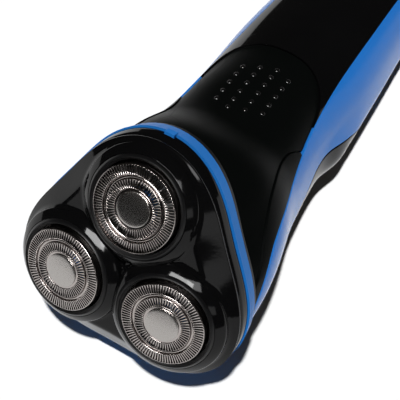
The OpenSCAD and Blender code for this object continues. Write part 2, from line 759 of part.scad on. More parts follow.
// Studs stand in staggered columns; a stud_spot is its distance and its angle
function stud_spot(column, r) =
    let (d = stud_start + (r + column[1] / 2) * stud_pitch_y,
         a = acos(column[0] * stud_pitch_x / (along(STATIONS, d) / 2)))
    [d, 90 - (90 - a) * 0.94];
module at_skin(d, a, inset) {
    p = skin(d, a, inset);
    n = cross(skin(d + 0.5, a, inset) - skin(d - 0.5, a, inset),
              skin(d, a + 1, inset) - skin(d, a - 1, inset));
    translate(p) rotate([0, acos(n[2] / norm(n)), atan2(n[1], n[0])]) children();
}
module grip_studs() {
    color([0.06, 0.06, 0.065])
        for (c = STUD_COLUMNS, r = [0:c[2] - 1])
            let (s = stud_spot(c, r)) at_skin(s[0], s[1], panel_sink)
                translate([0, 0, -0.6]) cylinder(r1 = stud_r + 0.1, r2 = stud_r - 0.3, h = 0.6 + stud_h, $fn = 16);
}
module side_wings() {
    nu = 16;
    nv = 6;
    function p(i, j, s, inset) =
        let (d = mix(body_start, wing_tip, i / nu),
             q = mix(1, panel_share(d) + 0.012, s > 0 ? j / nv : 1 - j / nv))
        skin(d, front_angle(d, s * q), inset);
    color([0.03, 0.03, 0.03]) for (s = [1, -1])
        slab([for (i = [0:nu]) [for (j = [0:nv]) p(i, j, s, 0.1)]],
             [for (i = [0:nu]) [for (j = [0:nv]) p(i, j, s, shell_wall)]]);
}
module side_band(side) {
    nu = 30;
    nv = 5;
    function p(i, j, inset) =
        let (d = mix(body_start, shell_end - seam / 2, i / nu),
             a = mix(band_back(d) + half_seam, band_front(d) - half_seam, j / nv))
        side > 0 ? skin(d, a, inset) : skin(d, 180 - mix(band_front(d) - half_seam,
                                                         band_back(d) + half_seam, j / nv), inset);
    color([0.12, 0.47, 0.84])
        slab([for (i = [0:nu]) [for (j = [0:nv]) p(i, j, 0)]],
             [for (i = [0:nu]) [for (j = [0:nv]) p(i, j, shell_wall)]]);
}
module at_bosses() {
    for (x = [-boss_x, boss_x], d = [boss_near, boss_far]) translate([x, head_y + d, 0]) children();
}
module back_shell() {
    nu = 30;
    nv = 18;
    function p(i, j, inset) =
        let (d = mix(body_start, shell_end - seam / 2, i / nu),
             start = 180 - band_back(d) + half_seam, end = 360 + band_back(d) - half_seam)
        skin(d, mix(start, end, j / nv), inset);
    color([0.04, 0.035, 0.035]) difference() {
        union() {
            slab([for (i = [0:nu]) [for (j = [0:nv]) p(i, j, 0)]],
                 [for (i = [0:nu]) [for (j = [0:nv]) p(i, j, shell_wall)]]);
            at_bosses() translate([0, 0, shell_wall - 0.4])
                cylinder(r = boss_r, h = chassis_top - chassis_h - face_fit - shell_wall + 0.4);
        }
        at_bosses() translate([0, 0, chassis_top - chassis_h - 9]) cylinder(r = 0.9, h = 20);
    }
}

// ---- Base cap and charging inlet ----
inlet_wall = 1.2;
inlet_z = 16;
module ring_solid(rings) {
    n = len(rings[0]);
    last = len(rings) - 1;
    polyhedron(points = flat(rings),
               faces = concat([[for (k = [n - 1:-1:0]) k]], [[for (k = [0:n - 1]) last * n + k]],
                              [for (i = [0:last - 1], k = [0:n - 1])
                                  let (a = i * n + k, b = i * n + (k + 1) % n)
                                  for (f = [[a, b, b + n], [a, b + n, a + n]]) f]));
}
function skin_ring(d, inset) = [for (k = [0:47]) skin(d, 7.5 * k, inset)];
module base_cap() {
    start = shell_end + seam / 2;
    outer = concat([for (t = [0:2]) skin_ring(mix(start, base[0] - base_round, t / 2), 0)],
                   [for (a = [18:18:90]) skin_ring(base[0] - base_round * (1 - sin(a)),
                                                   base_round * 0.5 * (1 - cos(a)))]);
    color([0.03, 0.03, 0.03]) difference() {
        ring_solid(outer);
        ring_solid([skin_ring(start - 1, shell_wall), skin_ring(base[0] - base_round, shell_wall),
                    skin_ring(base[0] - shell_wall, shell_wall + 1.5)]);
        translate([0, head_y + base[0], inlet_z])
            cube([inlet_w + 2 * inlet_wall + 2 * face_fit, 20,
                  inlet_h + 2 * inlet_wall + 2 * face_fit], center = true);
    }
}
module charging_inlet() {
    deep = inlet_depth + inlet_wall;
    color([0.08, 0.08, 0.085]) translate([0, head_y + base[0], inlet_z]) difference() {
        translate([-inlet_w / 2 - inlet_wall, -deep, -inlet_h / 2 - inlet_wall])
            cube([inlet_w + 2 * inlet_wall, deep, inlet_h + 2 * inlet_wall]);
        translate([-inlet_w / 2, -inlet_depth, -inlet_h / 2]) cube([inlet_w, 20, inlet_h]);
        for (x = [-1, 1]) translate([x * inlet_w * 0.33, 0, 0]) rotate([90, 0, 0])
            cylinder(r = inlet_pin_r + 0.02, h = 20);
    }
}
module charging_pins() {
    color([0.85, 0.8, 0.6]) for (x = [-1, 1])
        translate([x * inlet_w * 0.33, head_y + base[0] - 1.5, inlet_z]) rotate([90, 0, 0])
            cylinder(r = inlet_pin_r, h = inlet_depth + inlet_wall + 1.5);
}

// ---- Button and charging light, square to the skin of the front ----
module at_button() {
    at_skin(button_at, 90, 0) children();
}
module at_light() {
    at_skin(button_at + lens_gap, 90, 0) children();
}
module power_button() {
    color([0.12, 0.13, 0.14]) at_button() {
        rotate_extrude()
            polygon([[0, -1.2], [button_r - run_fit, -1.2], [button_r - run_fit, button_rise - 0.4],
                     [button_r - 0.5, button_rise], [0, button_rise - 0.3]]);
        translate([0, 0, -button_drop + button_travel + 0.2])
            cylinder(r = 1.4, h = button_drop - button_travel - 1.2);
    }
}
module button_bezel() {
    color([0.75, 0.75, 0.77]) at_button() difference() {
        union() {
            translate([0, 0, -shell_wall]) cylinder(r = button_r + bezel_w, h = shell_wall + 0.4);
        }
        cylinder(r = button_r, h = 10, center = true);
    }
}
module charging_light() {
    light_drop = skin(button_at + lens_gap, 90)[2] - pcb_top - 1.6;
    color([0.85, 0.9, 1]) at_light() {
        translate([0, 0, -shell_wall - 0.5]) cylinder(r = lens_r, h = shell_wall + 0.6);
        translate([0, 0, -light_drop]) cylinder(r = lens_r * 0.7, h = light_drop - shell_wall);
    }
}

// ---- Chassis, battery and circuit board ----
module chassis() {
    color([0.82, 0.82, 0.8]) difference() {
        union() {
            translate([-chassis_w / 2, head_y + boss_near - 4, chassis_top - chassis_h])
                cube([chassis_w, boss_far - boss_near + 8, chassis_h]);
            for (x = [-1, 1], d = [boss_near + 6, boss_far - 9]) translate([x * 9, head_y + d, chassis_top - tiny])
                cylinder(r = 1.8, h = pcb_gap - face_fit);
            for (d = [cell_start + 6, cell_start + cell_len - 8])
                translate([-9, head_y + d, cell_z - 2]) cube([18, 2, chassis_top - chassis_h - cell_z + 2 + tiny]);
        }
        translate([0, head_y + cell_start - 1, cell_z]) rotate([-90, 0, 0])
            cylinder(r = cell_r + 0.1, h = cell_len + 2);
        at_bosses() cylinder(r = 1.1, h = 60);
        for (d = [cell_start - 0.5, cell_start + cell_len + 0.5])
            translate([-3.5, head_y + d - 0.6, 0]) cube([7, 1.2, 60]);
    }
}
module chassis_screws() {
    color([0.8, 0.8, 0.82]) at_bosses() {
        translate([0, 0, chassis_top + 0.02]) cylinder(r = 1.9, h = 1.3);
        translate([0, 0, chassis_top - chassis_h - 7]) cylinder(r = 0.85, h = chassis_h + 7.5);
    }
}
module battery_cell() {
    color([0.2, 0.55, 0.35]) translate([0, head_y + cell_start, cell_z]) rotate([-90, 0, 0]) {
        cylinder(r = cell_r, h = cell_len - 1);
        cylinder(r = 2.8, h = cell_len);
    }
}
module battery_tabs() {
    color([0.8, 0.8, 0.78]) for (d = [cell_start - 0.25, cell_start + cell_len + 0.05])
        translate([-2.5, head_y + d, cell_z - 3]) cube([5, 0.2, pcb_bottom - face_fit - cell_z + 3]);
}
module circuit_board() {
    color([0.1, 0.35, 0.2]) {
        translate([-pcb_w / 2, head_y + pcb_start, pcb_bottom]) cube([pcb_w, pcb_end - pcb_start, pcb_h]);
        translate([-3, head_y + button_at - 3, pcb_top - tiny]) cube([6, 6, switch_h - 0.6]);
        translate([0, head_y + button_at, pcb_top]) cylinder(r = 1.5, h = switch_h - 0.2);
        translate([-5, head_y + pcb_start + 20, pcb_top - tiny]) cube([10, 8, 1.6]);
        for (d = [8, 36, 48]) translate([6, head_y + pcb_start + d, pcb_top - tiny]) cylinder(r = 2, h = 4);
    }
}

head_cap();
pod_ring(POSITIONS[0]);  // pod_ring_front
pod_ring(POSITIONS[1]);  // pod_ring_left
pod_ring(POSITIONS[2]);  // pod_ring_right
guard(POSITIONS[0]);  // guard_front
guard(POSITIONS[1]);  // guard_left
guard(POSITIONS[2]);  // guard_right
guard_disc(POSITIONS[0]);  // guard_disc_front
guard_disc(POSITIONS[1]);  // guard_disc_left
guard_disc(POSITIONS[2]);  // guard_disc_right
cutter(POSITIONS[0]);  // cutter_front
cutter(POSITIONS[1]);  // cutter_left
cutter(POSITIONS[2]);  // cutter_right
cutter_carrier(POSITIONS[0]);  // cutter_carrier_front
cutter_carrier(POSITIONS[1]);  // cutter_carrier_left
cutter_carrier(POSITIONS[2]);  // cutter_carrier_right
retaining_plate();
lock_knob();
head_hinge_pin();
accent_ring();
release_latch();
hair_tray();
tray_seal();
drive_frame();
drive_gear();
gear(POSITIONS[0]);  // gear_front
gear(POSITIONS[1]);  // gear_left
gear(POSITIONS[2]);  // gear_right
spindle(POSITIONS[0]);  // spindle_front
spindle(POSITIONS[1]);  // spindle_left
spindle(POSITIONS[2]);  // spindle_right
spindle_spring(POSITIONS[0]);  // spindle_spring_front
spindle_spring(POSITIONS[1]);  // spindle_spring_left
spindle_spring(POSITIONS[2]);  // spindle_spring_right
motor_can();
motor_end_cap();
motor_magnets();
motor_bushes();
motor_shaft();
motor_armature();
motor_screws();
front_shell();
grip_panel();
grip_studs();
side_wings();
side_band(-1);  // side_band_left
side_band(1);  // side_band_right
back_shell();
base_cap();
charging_inlet();
charging_pins();
power_button();
button_bezel();
charging_light();
chassis();
chassis_screws();
battery_cell();
battery_tabs();
circuit_board();
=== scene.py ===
import math
import bmesh
import bpy
from mathutils import Matrix, Vector
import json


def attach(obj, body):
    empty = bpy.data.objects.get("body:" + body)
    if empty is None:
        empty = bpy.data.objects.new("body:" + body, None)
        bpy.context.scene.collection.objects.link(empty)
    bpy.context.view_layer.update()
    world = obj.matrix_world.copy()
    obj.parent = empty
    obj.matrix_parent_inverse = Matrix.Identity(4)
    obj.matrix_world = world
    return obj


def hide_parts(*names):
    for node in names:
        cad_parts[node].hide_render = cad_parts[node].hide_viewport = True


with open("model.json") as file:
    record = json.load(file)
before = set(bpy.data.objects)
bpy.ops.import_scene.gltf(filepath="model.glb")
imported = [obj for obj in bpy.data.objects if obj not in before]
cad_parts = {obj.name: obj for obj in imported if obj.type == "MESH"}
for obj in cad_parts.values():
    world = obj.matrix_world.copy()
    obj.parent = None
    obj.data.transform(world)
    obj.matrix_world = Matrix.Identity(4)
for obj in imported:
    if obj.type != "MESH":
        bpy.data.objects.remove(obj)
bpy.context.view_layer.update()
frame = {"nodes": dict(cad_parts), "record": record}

# ---- Camera ----
# A long lens stands above and to the right of the head and looks down along the handle, whose
# end it leaves out. Its place is in millimetres and its turn in degrees.
MM = 0.001
LENS = 95.4
CAMERA_AT = (87.2, -185.0, 251.1)
CAMERA_TURN = (36.85, -0.58, 31.43)
camera = bpy.data.objects.new("Camera", bpy.data.cameras.new("Camera"))
camera.data.sensor_width = 36
camera.data.lens = LENS
camera.location = Vector(CAMERA_AT) * MM
camera.rotation_euler = [math.radians(a) for a in CAMERA_TURN]
bpy.context.collection.objects.link(camera)
bpy.context.scene.camera = camera
bpy.context.scene.view_settings.view_transform = "Standard"

# ---- Floor and studio light ----
# A plain white table, one low-spread key light that throws the shadow, and softboxes that show
# only as reflections, in the polished black plastic and the steel.
TABLE_HALF = 3
STUDIO_DARK = (0.029, 0.027, 0.024)
KEY_WAY = Vector((-0.12, 0.27, -1))
KEY_STRENGTH = 3.4
KEY_SPREAD = 2.5


def new_material(name):
    material = bpy.data.materials.new(name)
    material.use_nodes = True
    return material, material.node_tree.nodes, material.node_tree.links


def matt_paint(name, grey, shine):
    material, nodes, _ = new_material(name)
    shader = nodes["Principled BSDF"]
    shader.inputs["Base Color"].default_value = (grey, grey, grey, 1)
    shader.inputs["Roughness"].default_value = 0.9
    shader.inputs["Specular IOR Level"].default_value = shine
    return material


def add_mesh(name, points, faces, material, smooth=True):
    mesh = bpy.data.meshes.new(name)
    mesh.from_pydata(points, [], faces)
    mesh.materials.append(material)
    if smooth:
        mesh.shade_smooth()
    piece = bpy.data.objects.new(name, mesh)
    bpy.context.collection.objects.link(piece)
    return piece


table = add_mesh("table", [(x * TABLE_HALF, y * TABLE_HALF, -0.0002)
                           for x, y in ((-1, -1), (1, -1), (1, 1), (-1, 1))], [(0, 1, 2, 3)],
                 matt_paint("table_white", 0.96, 0))

world = bpy.data.worlds.new("studio")
bpy.context.scene.world = world
world.use_nodes = True
world.node_tree.nodes["Background"].inputs["Color"].default_value = (*STUDIO_DARK, 1)

sun = bpy.data.lights.new("key", "SUN")
sun.energy = KEY_STRENGTH
sun.angle = math.radians(KEY_SPREAD)
key = bpy.data.objects.new("key", sun)
key.rotation_euler = KEY_WAY.to_track_quat("-Z", "Y").to_euler()
key.visible_glossy = False
bpy.context.collection.objects.link(key)


def softbox(name, azimuth, height, width, tall, strength, aim=Vector((0, -0.06, 0.04)), far=0.6):
    """A light that shows only as a reflection. Its place and its size are angles in degrees."""
    a, h = math.radians(azimuth), math.radians(height)
    light = bpy.data.lights.new(name, "AREA")
    light.shape = "RECTANGLE"
    light.size, light.size_y = [2 * far * math.tan(math.radians(angle / 2)) for angle in (width, tall)]
    light.energy = strength * math.pi * light.size * light.size_y
    lamp = bpy.data.objects.new(name, light)
    lamp.location = aim + far * Vector((math.sin(a) * math.cos(h), math.cos(a) * math.cos(h), math.sin(h)))
    lamp.rotation_euler = (aim - lamp.location).to_track_quat("-Z", "Y").to_euler()
    lamp.visible_diffuse = False
    bpy.context.collection.objects.link(lamp)


softbox("pod_box", 182, 48, 30, 16, 26)
softbox("pod_box_side", 156, 51, 18, 14, 8)
softbox("flank_box", 136, 21, 16, 10, 1.3)

# A low black card, seen only in reflections, keeps the far floor out of the front guard.
CARD_TALL = 0.12
CARD_ENDS = ((-0.4, -0.256), (0.15, -0.454))
flag = add_mesh("flag", [(x, y, z) for z in (0, CARD_TALL) for x, y in CARD_ENDS], [(0, 1, 3, 2)],
                matt_paint("black_card", 0.01, 0.5))
flag.visible_camera = False
flag.visible_shadow = False
flag.visible_diffuse = False

# ---- Head shell ----
# One moulding in polished black ABS: a low dome with a raised pod round each cutter. It flips up
# on a hinge at the back and clicks onto the ring at the front.
joints = {j["name"]: j for j in frame["record"]["behaviour"]["joints"]}
ACROSS = Vector((1, 0, 0))
HEAD = Vector(joints["rotor_spin"]["pos_m"])
OUT = Vector(joints["rotor_spin"]["axis"])
FRONT = OUT.cross(ACROSS)
HEAD_R = 29.6
HEAD_SWELL = 0.117
CAP_EDGE = 12.0
BROW = 7.8
BROW_SHIFT = 0.8
RIM_FLARE = 0.5
VALLEY = 4.0
CHAMFER = 5.4
# Each pod is a cone round its cutter, POD_LEAN degrees steep, with a ledge inside for a bezel.
POD_R = 15.3
POD_TOP = 1.6
POD_BORE = 13.0
POD_LEAN = 38
POD_EDGE = 0.9
POD_FOOT = 6.2
POD_LEDGE = 3.4
POD_LEDGE_R = 12.6
PIVOT_DEPTH = 5.0
SHELL_THICK = 1.3
# The bend of the dome is softened by CREASE, and a fillet rises to the foot of each pod.
CREASE = 0.3
CREASE_SINK = 0.02
ROW_CROWDING = 1.7
FILLET = 0.4
FILLET_WIDE = 0.8
BARREL_R = 1.2
HINGE_OUT = 0.85
# The rim runs from the brow (0) to the cap's edge (1), set in at the seam groove.
RIM_LINE = ((0.06, 0), (0.12, 0.02), (0.17, 0.22), (0.23, 0.22), (0.28, 0), (0.5, 0), (0.75, 0), (0.93, 0),
            (1, 0.15))
# Each gap in the rim is its reach along the head, its depth and its half width.
HINGE_GAP = ((-4.2, 1.4), 3.4, 6.5)
LATCH_GAP = ((-3, 3), 1, 1.6)
SIDES = ("front", "left", "right")


def fine_surface():
    """Roughness and height of a moulded or ground surface: grain, wipe marks and fine scratches."""
    group = bpy.data.node_groups.new("fine_surface", "ShaderNodeTree")
    for label, kind in (("Vector", "NodeSocketVector"), ("Grain", "NodeSocketFloat"),
                        ("Smooth", "NodeSocketFloat"), ("Rough", "NodeSocketFloat")):
        group.interface.new_socket(name=label, in_out="INPUT", socket_type=kind)
    for label in ("Roughness", "Height", "Patches"):
        group.interface.new_socket(name=label, in_out="OUTPUT", socket_type="NodeSocketFloat")
    nodes, links = group.nodes, group.links
    given = nodes.new("NodeGroupInput")
    result = nodes.new("NodeGroupOutput")
    grain = nodes.new("ShaderNodeTexNoise")
    grain.inputs["Detail"].default_value = 4
    links.new(given.outputs["Vector"], grain.inputs["Vector"])
    links.new(given.outputs["Grain"], grain.inputs["Scale"])
    patches = nodes.new("ShaderNodeTexNoise")
    patches.inputs["Scale"].default_value = 45
    patches.inputs["Detail"].default_value = 5
    patches.inputs["Distortion"].default_value = 0.6
    links.new(given.outputs["Vector"], patches.inputs["Vector"])
    scratches = nodes.new("ShaderNodeTexVoronoi")
    scratches.feature = "DISTANCE_TO_EDGE"
    scratches.inputs["Scale"].default_value = 90
    stretch = nodes.new("ShaderNodeMapping")
    stretch.inputs["Scale"].default_value = (1, 0.15, 1)
    stretch.inputs["Rotation"].default_value = (0, 0, 0.4)
    links.new(given.outputs["Vector"], stretch.inputs["Vector"])
    links.new(stretch.outputs["Vector"], scratches.inputs["Vector"])
    hairline = nodes.new("ShaderNodeMapRange")
    hairline.inputs["From Max"].default_value = 0.012
    hairline.inputs["To Min"].default_value = 1
    hairline.inputs["To Max"].default_value = 0
    links.new(scratches.outputs["Distance"], hairline.inputs["Value"])
    spread = nodes.new("ShaderNodeMapRange")
    spread.inputs["From Min"].default_value = 0.3
    spread.inputs["From Max"].default_value = 0.7
    links.new(patches.outputs["Fac"], spread.inputs["Value"])
    links.new(given.outputs["Smooth"], spread.inputs["To Min"])
    links.new(given.outputs["Rough"], spread.inputs["To Max"])
    worn = nodes.new("ShaderNodeMath")
    worn.operation = "MULTIPLY_ADD"
    worn.inputs[1].default_value = 0.06
    links.new(hairline.outputs["Result"], worn.inputs[0])
    links.new(spread.outputs["Result"], worn.inputs[2])
    links.new(worn.outputs["Value"], result.inputs["Roughness"])
    links.new(grain.outputs["Fac"], result.inputs["Height"])
    links.new(patches.outputs["Fac"], result.inputs["Patches"])
    return group


fine_surface_group = fine_surface()


def finish(name, dark, light, rough, grain=900, bump=0.02, metallic=0.0, coat=0.0, shine=0.5, uv=False,
           stretch=(1, 1, 1)):
    """A moulded or metal finish whose colour drifts from dark to light and roughness with it."""
    material, nodes, links = new_material(name)
    shader = nodes["Principled BSDF"]
    shader.inputs["Specular IOR Level"].default_value = shine
    shader.inputs["Metallic"].default_value = metallic
    shader.inputs["Coat Weight"].default_value = coat
    shader.inputs["Coat Roughness"].default_value = 0.06
    place = nodes.new("ShaderNodeTexCoord")
    spread = nodes.new("ShaderNodeMapping")
    spread.inputs["Scale"].default_value = stretch
    links.new(place.outputs["UV" if uv else "Object"], spread.inputs["Vector"])
    surface = nodes.new("ShaderNodeGroup")
    surface.node_tree = fine_surface_group
    surface.inputs["Grain"].default_value = grain
    surface.inputs["Smooth"].default_value = rough[0]
    surface.inputs["Rough"].default_value = rough[1]
    links.new(spread.outputs["Vector"], surface.inputs["Vector"])
    tone = nodes.new("ShaderNodeMix")
    tone.data_type = "RGBA"
    tone.inputs["A"].default_value = (*dark, 1)
    tone.inputs["B"].default_value = (*light, 1)
    links.new(surface.outputs["Patches"], tone.inputs["Factor"])
    links.new(tone.outputs["Result"], shader.inputs["Base Color"])
    links.new(surface.outputs["Roughness"], shader.inputs["Roughness"])
    relief = nodes.new("ShaderNodeBump")
    relief.inputs["Strength"].default_value = bump
    relief.inputs["Distance"].default_value = 0.0002
    links.new(surface.outputs["Height"], relief.inputs["Height"])
    links.new(relief.outputs["Normal"], shader.inputs["Normal"])
    return material


polished_black = finish("polished_black", (0.0016, 0.0016, 0.0018), (0.003, 0.003, 0.0032), (0.05, 0.1),
                        shine=0.18)


def cutter_place(side):
    """Matrix from a cutter's own millimetres, with z = 0 at the top of its guard, to the frame."""
    spin = joints["cutter_spin_" + side]
    axis = Vector(spin["axis"])
    first = (ACROSS - axis * ACROSS.dot(axis)).normalized()
    second = axis.cross(first)
    place = Matrix((first, second, axis)).transposed().to_4x4() @ Matrix.Diagonal((MM, MM, MM, 1))
    place.translation = Vector(spin["pos_m"]) + axis * PIVOT_DEPTH * MM
    return place


CUTTER_PLACE = {side: cutter_place(side) for side in SIDES}
CUTTER_INVERSE = {side: CUTTER_PLACE[side].inverted() for side in SIDES}


def head_point(x, y, depth):
    return HEAD + (ACROSS * x + FRONT * y - OUT * depth) * MM


def mix(a, b, t):
    return a + (b - a) * t


def outline_r(angle):
    return HEAD_R * (1 + HEAD_SWELL * math.cos(3 * (angle - math.pi / 2)))


def lathe(mesh, profile, place, steps=96):
    """Adds a closed ring to a bmesh: the closed profile of (radius, height) turned round place."""
    uv = mesh.loops.layers.uv.verify()
    rings = [[mesh.verts.new(place @ Vector((r * math.cos(a), r * math.sin(a), z))) for r, z in profile]
             for a in (2 * math.pi * i / steps for i in range(steps))]
    lengths = [0]
    for (r0, z0), (r1, z1) in zip(profile, profile[1:] + profile[:1]):
        lengths.append(lengths[-1] + math.hypot(r1 - r0, z1 - z0))
    for i in range(steps):
        for k in range(len(profile)):
            m = (k + 1) % len(profile)
            ring, after = rings[i], rings[(i + 1) % steps]
            face = mesh.faces.new((ring[k], after[k], after[m], ring[m]))
            face.smooth = True
            for loop, (u, v) in zip(face.loops, ((i, k), (i + 1, k), (i + 1, k + 1), (i, k + 1))):
                loop[uv].uv = (u / steps, lengths[v] * 0.1)
    if profile[0][0] < 0.05:
        bmesh.ops.remove_doubles(mesh, verts=[ring[0] for ring in rings], dist=0.00005)


def rounded(x, z, radius, start, end, steps=6):
    """Points of an arc about (x, z) between two angles in degrees."""
    turns = [math.radians(start + (end - start) * i / steps) for i in range(steps + 1)]
    return [(x + radius * math.cos(a), z + radius * math.sin(a)) for a in turns]


def dome_depth(x, y):
    """Depth of the dome at a place of the head: its shoulder, and a fillet at the foot of each pod."""
    r = math.hypot(x, y + BROW_SHIFT)
    inset = outline_r(math.atan2(y + BROW_SHIFT, x)) - r
    slope = (BROW - VALLEY) * (1 - (inset + RIM_FLARE) / CHAMFER)
    depth = VALLEY + (slope + math.hypot(slope, CREASE)) / 2 - CREASE_SINK
    for side in SIDES:
        local = CUTTER_INVERSE[side] @ head_point(x, y, depth)
        gap = math.hypot(local.x, local.y) - POD_R
        depth -= FILLET * max(0, 1 - max(0, gap) / FILLET_WIDE) ** 2
    return depth


def finish_mesh(name, mesh, material, bevel=0.0):
    data = bpy.data.meshes.new(name)
    bmesh.ops.recalc_face_normals(mesh, faces=mesh.faces)
    mesh.to_mesh(data)
    mesh.free()
    data.materials.append(material)
    piece = bpy.data.objects.new(name, data)
    bpy.context.collection.objects.link(piece)
    if bevel:
        soften(piece, bevel)
    return piece


def soften(piece, width):
    """Rounds the sharp edges of a moulding and evens its shading."""
    edge = piece.modifiers.new("edge", "BEVEL")
    edge.width = width * MM
    edge.segments = 3
    edge.limit_method = "ANGLE"
    edge.angle_limit = math.radians(40)
    even = piece.modifiers.new("even", "WEIGHTED_NORMAL")
    even.keep_sharp = False


def dome():
    """The cap's shell: the dome, then its rim with the seam groove, bored through at each pod."""
    rows, steps = 60, 240
    mesh = bmesh.new()
    rings = []
    for i in range(steps):
        a = 2 * math.pi * i / steps
        edge = outline_r(a) + RIM_FLARE
        ring = []
        for k in range(1, rows + 1):
            r = edge * (1 - (1 - k / rows) ** ROW_CROWDING)
            x, y = r * math.cos(a), r * math.sin(a) - BROW_SHIFT
            ring.append(head_point(x, y, dome_depth(x, y)))
        for t, inset in RIM_LINE:
            r = edge - inset
            y = r * math.sin(a) - BROW_SHIFT * (1 - t)
            ring.append(head_point(r * math.cos(a), y, mix(BROW, CAP_EDGE, t)))
        rings.append([mesh.verts.new(p) for p in ring])
    middle = mesh.verts.new(head_point(0, -BROW_SHIFT, dome_depth(0, -BROW_SHIFT)))
    for i in range(steps):
        ring, after = rings[i], rings[(i + 1) % steps]
        mesh.faces.new((middle, ring[0], after[0]))
        for k in range(len(ring) - 1):
            mesh.faces.new((ring[k], ring[k + 1], after[k + 1], after[k]))
    bored = []
    for face in mesh.faces:
        face.smooth = True
        centre = face.calc_center_median()
        if any(math.hypot(*(CUTTER_INVERSE[side] @ centre).xy) < POD_R - POD_EDGE for side in SIDES):
            bored.append(face)
    bmesh.ops.delete(mesh, geom=bored, context="FACES")
    shell = finish_mesh("head_dome", mesh, polished_black)
    wall = shell.modifiers.new("wall", "SOLIDIFY")
    wall.thickness = SHELL_THICK * MM
    wall.offset = -1
    return shell


def pod_rings():
    mesh = bmesh.new()
    profile = ([(POD_BORE, -POD_TOP - 0.3)] + rounded(POD_BORE + 0.12, -POD_TOP, 0.12, 170, 90 - POD_LEAN, 4)
               + rounded(POD_R - POD_EDGE, -POD_TOP - 2, POD_EDGE, 90 - POD_LEAN, 0, 8)
               + [(POD_R + 0.02, -POD_FOOT + 0.6), (POD_R - 0.4, -POD_FOOT), (POD_LEDGE_R, -POD_FOOT),
                  (POD_LEDGE_R, -POD_LEDGE), (POD_BORE, -POD_LEDGE)])
    for side in SIDES:
        lathe(mesh, profile, CUTTER_PLACE[side], 128)
    return finish_mesh("head_pods", mesh, polished_black)


def bake(piece):
    """Turns a piece's modifiers into mesh, with every face turned outwards."""
    graph = bpy.context.evaluated_depsgraph_get()
    data = bpy.data.meshes.new_from_object(piece.evaluated_get(graph))
    piece.modifiers.clear()
    piece.data = data
    turned = bmesh.new()
    turned.from_mesh(data)
    bmesh.ops.recalc_face_normals(turned, faces=turned.faces)
    turned.to_mesh(data)
    turned.free()


def cut_away(piece, corners):
    """Cuts the box with the given eight corners out of a piece."""
    box = add_mesh("box", corners, [(0, 1, 3, 2), (4, 6, 7, 5), (0, 4, 5, 1), (2, 3, 7, 6), (0, 2, 6, 4),
                                    (1, 5, 7, 3)], polished_black, smooth=False)
    bake(box)
    bake(piece)
    cut = piece.modifiers.new("cut", "BOOLEAN")
    cut.object = box
    cut.solver = "EXACT"
    cut.use_self = True
    bake(piece)
    bpy.data.objects.remove(box)


HINGE_Y = BARREL_R - outline_r(-math.pi / 2) - HINGE_OUT
FRONT_EDGE = outline_r(math.pi / 2)
head_dome = dome()
for middle, ((low, high), deep, half) in ((HINGE_Y, HINGE_GAP), (FRONT_EDGE, LATCH_GAP)):
    cut_away(head_dome, [head_point(x, y, d) for d in (CAP_EDGE - deep, CAP_EDGE + 1)
                         for y in (middle + low, middle + high) for x in (-half, half)])
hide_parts("head_cap")
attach(head_dome, "head")
head_pods = pod_rings()
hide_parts("head_cap")
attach(head_pods, "head")

# ---- Guards, discs and pod bezels ----
# Each guard is drawn from thin stainless sheet, with two slotted tracks and a groove between
# them, and carries a satin disc in its middle. A stepped black bezel fills the gap to its pod.
GUARD_R = 11.2
GUARD_DEEP = 4.0
FLANGE = 3.4
OUTER_SLOTS = 92
INNER_SLOTS = 60
# The slots cut row SLOT_ROW of a track's points and take SLOT_SHARE of each pitch.
SLOT_ROW = 3
SLOT_SHARE = 0.58
BEAD_TURN = 0.72
DISC_R = 4.4
DISC_TALL = 0.34
DISC_CROWN = 0.14
foil_steel = finish("foil_steel", (0.32, 0.293, 0.282), (0.44, 0.405, 0.39), (0.08, 0.14), 140, 0.03, 1.0,
                    uv=True, stretch=(1, 30, 1))
disc_steel = finish("disc_steel", (0.35, 0.335, 0.32), (0.42, 0.40, 0.385), (0.15, 0.22), 160, 0.08, 1.0,
                    uv=True, stretch=(1, 40, 1))
satin_black = finish("satin_black", (0.003, 0.003, 0.0033), (0.005, 0.005, 0.0053), (0.28, 0.42), 1400, 0.05,
                     shine=0.2)


def slotted_ring(mesh, top, under, slots, place):
    """A thin ring, given its top and its underside from the inside out, slotted along one row."""
    steps = 2 * slots
    total = 2 * len(top)
    uv = mesh.loops.layers.uv.verify()
    rings = []
    for i in range(steps):
        a = 2 * math.pi * (i // 2 + (SLOT_SHARE if i % 2 else 0)) / slots
        rings.append([mesh.verts.new(place @ Vector((r * math.cos(a), r * math.sin(a), z)))
                      for r, z in top + under[::-1]])
    mirror = total - 2 - SLOT_ROW
    for i in range(steps):
        ring, after = rings[i], rings[(i + 1) % steps]
        for k in range(total):
            m = (k + 1) % total
            if i % 2 == 0 and k in (SLOT_ROW, mirror):
                continue
            face = mesh.faces.new((ring[k], after[k], after[m], ring[m]))
            face.smooth = True
            for loop, (u, v) in zip(face.loops, ((i, k), (i + 1, k), (i + 1, k + 1), (i, k + 1))):
                loop[uv].uv = (u / steps, v * 0.08)
        if i % 2 == 0:
            s, e, f, g = SLOT_ROW, SLOT_ROW + 1, mirror, mirror + 1
            mesh.faces.new((ring[s], ring[e], ring[f], ring[g]))
            mesh.faces.new((after[s], after[g], after[f], after[e]))
            mesh.faces.new((ring[s], ring[g], after[g], after[s]))
            mesh.faces.new((ring[e], after[e], after[f], ring[f]))


def beads(mesh, radius, height, size, count, place):
    """A ring of small round bumps, one on the bar after each slot."""
    for i in range(count):
        a = 2 * math.pi * (i + BEAD_TURN) / count
        spot = place @ Matrix.Translation((radius * math.cos(a), radius * math.sin(a), height))
        made = bmesh.ops.create_icosphere(mesh, subdivisions=1, radius=size, matrix=spot)
        for vert in made["verts"]:
            for face in vert.link_faces:
                face.smooth = True


